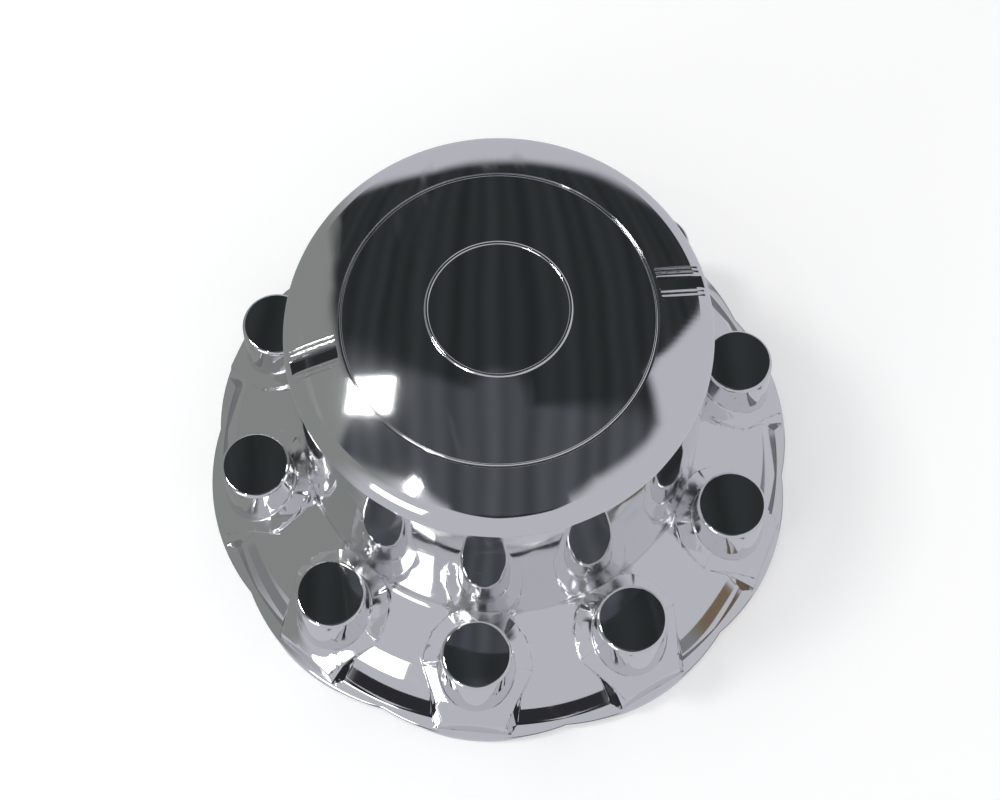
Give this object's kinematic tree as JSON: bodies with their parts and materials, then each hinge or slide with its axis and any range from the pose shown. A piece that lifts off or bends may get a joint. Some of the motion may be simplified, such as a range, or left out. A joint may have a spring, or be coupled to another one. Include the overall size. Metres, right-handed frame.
{
  "type": "wheel hub cover",
  "caption": "Thin moulded cover for a wheel hub: a crowned cap in the middle, and a lobed flange with built-in towers over the wheel nuts.",
  "frame": {"origin": "on the cover's axis, in the plane of the rim that meets the wheel", "axes": "+Z along the axis, out of the wheel towards the crown; +X through the middle of a nut tower and of a lift notch"},
  "size_m": [0.3524, 0.3468, 0.2225],
  "materials": {
    "plating": "mirror-bright chrome plating on moulded plastic"
  },
  "bodies": {
    "root": {"hub_cover": "plating"}
  },
  "joints": []
}
